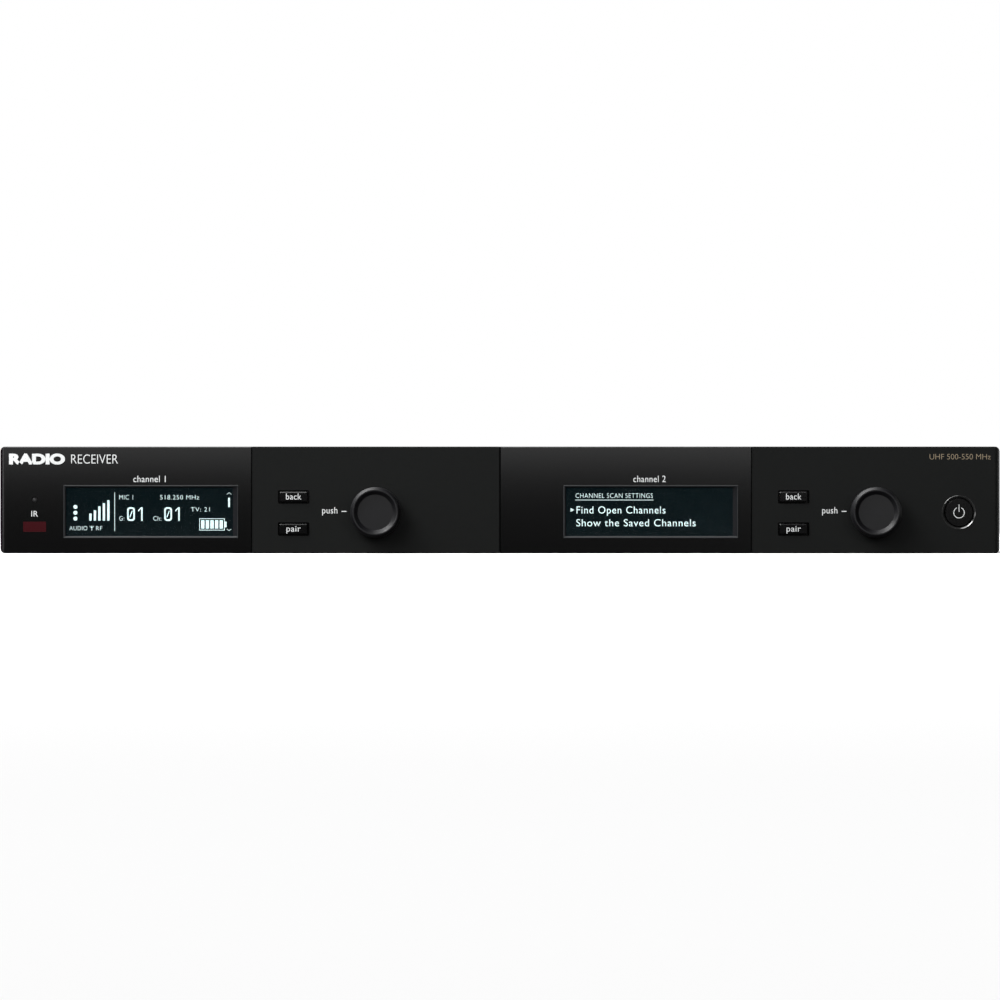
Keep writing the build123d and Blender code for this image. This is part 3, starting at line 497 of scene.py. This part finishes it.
def power_symbol(materials):
    """The standard on-off symbol, an open ring and a bar; it moves with the power key."""
    half = SYMBOL_STROKE / 2
    start, stop = 90 + SYMBOL_GAP, 450 - SYMBOL_GAP
    outer = arc_points(SYMBOL_RADIUS + half, start, stop, SYMBOL_STEPS)
    inner = arc_points(SYMBOL_RADIUS - half, start, stop, SYMBOL_STEPS)
    shapes = [strip_solid(outer + list(reversed(inner))), plate(-half, half, *SYMBOL_BAR)]
    middle, y = centre_mm("power_button"), box_mm("power_button")[0].y - PRINT_LIFT
    place = {"body": "power_key", "x": middle.x, "z": middle.z + SYMBOL_DROP}
    print_shapes("power_symbol", shapes, materials["ink_white"], y, **place)


def strip_solid(outline):
    """A thin solid band; the outline runs along one edge and back along the other."""
    shape = bmesh.new()
    count = len(outline) // 2
    half = PRINT_THICK / 2
    front = [shape.verts.new((x, -half, z)) for x, z in outline]
    back = [shape.verts.new((x, half, z)) for x, z in outline]
    last = 2 * count - 1
    for i in range(count - 1):
        a, b, c, d = i, i + 1, last - i - 1, last - i
        shape.faces.new((front[a], front[b], front[c], front[d]))
        shape.faces.new((back[d], back[c], back[b], back[a]))
    for i in range(2 * count):
        j = (i + 1) % (2 * count)
        shape.faces.new((front[j], front[i], back[i], back[j]))
    bmesh.ops.recalc_face_normals(shape, faces=shape.faces)
    return shape


# --- Trims --------------------------------------------------------------------------------
def looped_solid(name, loops, material):
    """A closed ring of material: each loop has the same number of points (millimetres)."""
    shape = bmesh.new()
    rows = [[shape.verts.new(Vector(point) * MM) for point in loop] for loop in loops]
    count = len(rows[0])
    for row, following in zip(rows, rows[1:] + rows[:1]):
        for i in range(count):
            j = (i + 1) % count
            shape.faces.new((row[i], row[j], following[j], following[i]))
    bmesh.ops.recalc_face_normals(shape, faces=shape.faces)
    mesh = bpy.data.meshes.new(name)
    shape.to_mesh(mesh)
    shape.free()
    return add_piece(name, mesh, material)


def rectangle_loop(x0, x1, z0, z1, y):
    """The corners of an upright rectangle, anticlockwise from the front."""
    return [(x0, y, z0), (x1, y, z0), (x1, y, z1), (x0, y, z1)]


def opening_mm(number):
    """Left, right, foot and top of a display opening in millimetres."""
    low, high = box_mm(f"display_window_{number}")
    sides = (low.x + OPENING_MARGIN, high.x - OPENING_MARGIN)
    return (*sides, low.z + OPENING_MARGIN, high.z - OPENING_MARGIN)


def display_lip(number, materials):
    """A satin lip round the mouth of a display opening."""
    x0, x1, z0, z1 = opening_mm(number)
    face = box_mm("lens_panel_1")[0].y
    loops = []
    for reach, depth in LIP_SECTION:
        sides = (x0 - SLOPE_LEFT - reach, x1 + SLOPE_RIGHT + LIP_RIGHT * reach)
        ends = (z0 - SLOPE_LOW - LIP_LOW * reach, z1 + SLOPE_HIGH + reach)
        loops.append(rectangle_loop(*sides, *ends, face + depth))
    looped_solid(f"display_lip_{number}", loops, materials["lip_grey"])


def display_lining(number, materials):
    """A dull lining down the slopes of a display opening."""
    x0, x1, z0, z1 = opening_mm(number)
    face = box_mm("lens_panel_1")[0].y
    start, stop = LINING_SPAN
    loops = []
    for inset, share in ((0, start), (0, stop), (LINING_THICK, stop), (LINING_THICK, start)):
        rest = 1 - share
        sides = (x0 - SLOPE_LEFT * rest + inset, x1 + SLOPE_RIGHT * rest - inset)
        ends = (z0 - SLOPE_LOW * rest + inset, z1 + SLOPE_HIGH * rest - inset)
        loops.append(rectangle_loop(*sides, *ends, face + SLOPE_DEPTH * share))
    looped_solid(f"display_lining_{number}", loops, materials["lining_black"])


def power_ring(materials):
    """A polished ring round the power button, whose face slopes down towards the button."""
    middle, face = centre_mm("power_button"), box_mm("control_panel_2")[0].y
    angles = [2 * math.pi * i / RING_STEPS for i in range(RING_STEPS)]
    loops = []
    for radius, depth in RING_SECTION:
        circle = [(radius * math.cos(a), radius * math.sin(a)) for a in angles]
        loops.append([(middle.x + x, face + depth, middle.z + z) for x, z in circle])
    ring = looped_solid("power_ring", loops, materials["polished_black"])
    ring.data.shade_smooth()
    ring.data.set_sharp_from_angle(angle=math.radians(SHARP_ANGLE))


# --- Screens ------------------------------------------------------------------------------
def battery():
    """A battery outline with a nub and its charge cells."""
    x0, z0 = BATTERY_LEFT, BATTERY_FOOT
    x1, z1 = x0 + BATTERY_WIDTH, z0 + BATTERY_HEIGHT
    line, middle = LINE_WIDTH, z0 + BATTERY_HEIGHT / 2
    shapes = [
        plate(x0, x1, z0, z0 + line),
        plate(x0, x1, z1 - line, z1),
        plate(x0, x0 + line, z0 + line, z1 - line),
        plate(x1 - line, x1, z0 + line, z1 - line),
        plate(x1, x1 + NUB_REACH, middle - NUB_HALF, middle + NUB_HALF),
    ]
    inset = line + CELL_GAP
    pitch = (BATTERY_WIDTH - 2 * inset + CELL_GAP) / BATTERY_CELLS
    for cell in range(BATTERY_CELLS):
        start = x0 + inset + cell * pitch
        shapes.append(plate(start, start + pitch - CELL_GAP, z0 + inset, z1 - inset))
    return shapes


def pointer(x, z, size):
    """A small triangle that points to the right."""
    return outline_solid([(x - size, z - size), (x + size, z), (x - size, z + size)])


def chevron(x, z, up):
    """An open arrowhead with its tip at z; up is 1 or -1."""
    half, rise, stroke = CHEVRON_HALF, up * CHEVRON_RISE, up * CHEVRON_STROKE
    outer = [(x - half, z - rise), (x, z), (x + half, z - rise)]
    inner = [(x + half, z - rise - stroke), (x, z - stroke), (x - half, z - rise - stroke)]
    return strip_solid(outer + inner)


def aerial(x, foot):
    """An aerial's symbol: a stem with two arms that rise from its middle."""
    stem = plate(x - LINE_WIDTH / 2, x + LINE_WIDTH / 2, foot, foot + AERIAL_HEIGHT)
    return [chevron(x, foot + AERIAL_FORK, -1), stem]


def rounded_outline(x0, x1, z0, z1, corner):
    """(x, z) points round a rectangle with rounded corners, anticlockwise."""
    centres = [(x1 - corner, z1 - corner), (x0 + corner, z1 - corner)]
    centres += [(x0 + corner, z0 + corner), (x1 - corner, z0 + corner)]
    points = []
    for quarter, (cx, cz) in enumerate(centres):
        arc = arc_points(corner, 90 * quarter, 90 * quarter + 90, CORNER_STEPS)
        points += [(cx + dx, cz + dz) for dx, dz in arc]
    return points + points[:1]


def nought_and_one(left):
    """A large 0 with a stroke across it, and a 1 beside it."""
    foot, top, stroke = DIGITS_FOOT, DIGITS_FOOT + DIGIT_HEIGHT, DIGIT_STROKE
    right = left + DIGIT_WIDTH
    outer = rounded_outline(left, right, foot, top, DIGIT_CORNER)
    hole = (left + stroke, right - stroke, foot + stroke, top - stroke)
    inner = rounded_outline(*hole, DIGIT_CORNER - stroke / 2)
    (x0, z0), (x1, z1), half = SLASH_FOOT, SLASH_TOP, SLASH_WIDTH / 2
    slash = [(x0 - half, z0), (x0 + half, z0), (x1 + half, z1), (x1 - half, z1)]
    stem = left + ONE_STEM
    tip, low = stem - ONE_FLAG, top - ONE_FLAG
    flag = [(tip, low - stroke), (stem, top - stroke), (stem, top), (tip, low)]
    return [
        strip_solid(outer + list(reversed(inner))),
        outline_solid([(left + x, foot + z) for x, z in slash]),
        plate(stem, stem + stroke, foot, top),
        outline_solid(flag),
    ]


def status_screen():
    """Level dots, signal bars, divider, digits, battery, scroll bar and aerial."""
    shapes = [round_dot(DOT_X, height, DOT_RADIUS) for height in DOT_HEIGHTS]
    for index, top in enumerate(BAR_TOPS):
        x = BAR_X + index * BAR_PITCH
        shapes.append(plate(x - BAR_WIDTH / 2, x + BAR_WIDTH / 2, BAR_FOOT, top))
    shapes.append(plate(DIVIDER_X - LINE_WIDTH / 2, DIVIDER_X + LINE_WIDTH / 2, *DIVIDER_SPAN))
    for left in DIGITS_LEFT:
        shapes += nought_and_one(left)
    shapes += battery()
    shapes.append(plate(SCROLL_X - SCROLL_WIDTH / 2, SCROLL_X + SCROLL_WIDTH / 2, *SCROLL_SPAN))
    shapes.append(chevron(SCROLL_X, DIVIDER_SPAN[1], 1))
    shapes.append(chevron(SCROLL_X, DIVIDER_SPAN[0], -1))
    shapes += aerial(AERIAL_X, AERIAL_FOOT)
    return shapes


def menu_screen():
    """The line under the heading and the mark beside the chosen entry."""
    line = plate(*MENU_LINE_SPAN, MENU_LINE_Z - LINE_WIDTH / 2, MENU_LINE_Z + LINE_WIDTH / 2)
    return [line, pointer(MENU_MARK_X, MENU_MARK_Z, MENU_MARK)]


def screens(materials):
    """What each display shows, between its window and its glass."""
    drawings = {"1": status_screen, "2": menu_screen}
    for number in CHANNELS:
        left, _, foot, _ = opening_mm(number)
        shapes = drawings[number]()
        for text, x, z, cap, width, bold in SCREEN_TEXTS[number]:
            shapes.append(text_outline(text, cap, x, z, bold, width, SCREEN_SPACING)[0])
        y = box_mm(f"display_window_{number}")[1].y + SCREEN_DEPTH
        print_shapes(f"screen_{number}", shapes, materials["screen_pixels"], y, x=left, z=foot)


# --- Stage, lights and camera -------------------------------------------------------------
CAMERA_DISTANCE, CLIP_END = 3.0, 50
VIEW_WIDTH = 0.393  # the front face fills the frame's width
SENSOR = 36.0
FLOOR_SIZE, FLOOR_PATCH = 12.0, 400.0
FLOOR_DARK, FLOOR_PALE = (0.86, 0.86, 0.86), (0.88, 0.88, 0.88)
FLOOR_BOUNCE = 0.04  # share of light that the floor gives back to the object
WORLD_DIM = 0.022  # strength of the surroundings as the object sees them
SKY_POWER, SKY_SPREAD, SKY_LEAN = 3.6, 50, 24
FRONT_MIDDLE = (0, 0, 0.021)
# Each light's place, the point that it is aimed at, its width and height, and its power
FRONT_LIGHTS = {  # y is measured from the front face
    "key": ((-0.80, -0.32, 1.02), FRONT_MIDDLE, (0.6, 0.6), 16.0),
    "fill": ((-0.85, -1.1, 0.85), FRONT_MIDDLE, (0.8, 0.8), 13.0),
    "left": ((-1.2, -0.6, 0.12), FRONT_MIDDLE, (0.6, 0.6), 2.4),
    "right": ((0.6, -1.5, 0.5), FRONT_MIDDLE, (0.8, 0.8), 3.0),
    "front_strip": ((0, -0.20, 0.068), (0, 0, 0.068), (0.7, 0.06), 0.16),
}
BACK_LIGHTS = {
    "side": ((1.3, 0.5, 0.3), (0.19, 0, 0.021), (0.8, 0.8), 14.0),
    "rear": ((0.6, 1.4, 0.6), (0, 0.05, 0.021), (0.8, 0.8), 12.0),
}


def seen_by_camera(nodes):
    """1 for rays that come straight from the camera, 0 for reflections and bounces."""
    return nodes.new("ShaderNodeLightPath").outputs["Is Camera Ray"]


def add_floor():
    """A wide pale floor that throws little light back onto the black panels."""
    mesh = bpy.data.meshes.new("floor")
    shape = bmesh.new()
    bmesh.ops.create_grid(shape, x_segments=1, y_segments=1, size=FLOOR_SIZE)
    shape.to_mesh(mesh)
    shape.free()
    floor = bpy.data.objects.new("floor", mesh)
    material, nodes, links, shader, coords = new_material("floor_paper")
    shade = noise(nodes, links, coords, FLOOR_PATCH, detail=1.0)
    pale = tint(nodes, links, shade, FLOOR_DARK, FLOOR_PALE)
    mix = nodes.new("ShaderNodeMix")
    mix.data_type = "RGBA"
    links.new(seen_by_camera(nodes), mix.inputs["Factor"])
    mix.inputs["A"].default_value = (FLOOR_BOUNCE, FLOOR_BOUNCE, FLOOR_BOUNCE, 1)
    links.new(pale, mix.inputs["B"])
    links.new(mix.outputs["Result"], shader.inputs["Base Color"])
    shader.inputs["Roughness"].default_value = 1.0
    shader.inputs["Specular IOR Level"].default_value = 0.0
    mesh.materials.append(material)
    bpy.context.scene.collection.objects.link(floor)


def add_lights(lights, start):
    """Soft rectangular lights, each aimed at a point; their y is measured from start."""
    for name, (place, aim, (width, height), power) in lights.items():
        light = bpy.data.lights.new(name, "AREA")
        light.shape = "RECTANGLE"
        light.size, light.size_y = width, height
        light.energy = power
        lamp = bpy.data.objects.new(name, light)
        place, aim = [Vector((x, start + y, z)) for x, y, z in (place, aim)]
        lamp.location = place
        lamp.rotation_euler = (aim - place).to_track_quat("-Z", "Y").to_euler()
        lamp.visible_camera = False
        bpy.context.scene.collection.objects.link(lamp)


def add_sky():
    """Even light from above, leaning to the left and softened over a wide angle."""
    light = bpy.data.lights.new("sky", "SUN")
    light.energy = SKY_POWER
    light.angle = math.radians(SKY_SPREAD)
    lamp = bpy.data.objects.new("sky", light)
    lamp.rotation_euler = (0, -math.radians(SKY_LEAN), 0)
    bpy.context.scene.collection.objects.link(lamp)


def add_world():
    """White where the camera sees past the floor, dim for what lights the object."""
    world = bpy.data.worlds.new("studio")
    bpy.context.scene.world = world
    world.use_nodes = True
    nodes, links = world.node_tree.nodes, world.node_tree.links
    background = nodes["Background"]
    level = nodes.new("ShaderNodeMapRange")
    level.inputs["To Min"].default_value = WORLD_DIM
    level.inputs["To Max"].default_value = 1.0
    links.new(seen_by_camera(nodes), level.inputs["Value"])
    links.new(level.outputs["Result"], background.inputs["Strength"])
    background.inputs["Color"].default_value = (1, 1, 1, 1)


def add_camera():
    """Level with the middle of the front, square to it."""
    data = bpy.data.cameras.new("camera")
    data.sensor_width = SENSOR
    data.lens = SENSOR * CAMERA_DISTANCE / VIEW_WIDTH
    data.clip_end = CLIP_END
    camera = bpy.data.objects.new("camera", data)
    low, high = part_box("lens_panel_1")
    camera.location = (0, low.y - CAMERA_DISTANCE, (low.z + high.z) / 2)
    camera.rotation_euler = (math.radians(90), 0, 0)
    bpy.context.scene.collection.objects.link(camera)
    bpy.context.scene.camera = camera


def set_stage():
    """Camera, floor, surroundings and lights."""
    add_camera()
    add_floor()
    add_world()
    add_sky()
    add_lights(FRONT_LIGHTS, box_mm("lens_panel_1")[0].y * MM)
    add_lights(BACK_LIGHTS, 0)
    bpy.context.scene.view_settings.view_transform = "Standard"


materials = make_materials()
dress_cad(materials)
title_legend(materials)
band_legend(materials)
for number in CHANNELS:
    channel_legend(number, materials)
    push_legend(number, materials)
sensor_legend(materials)
key_legends(materials)
power_symbol(materials)
screens(materials)
for number in CHANNELS:
    display_lip(number, materials)
    display_lining(number, materials)
power_ring(materials)
rear_legends(materials)
set_stage()
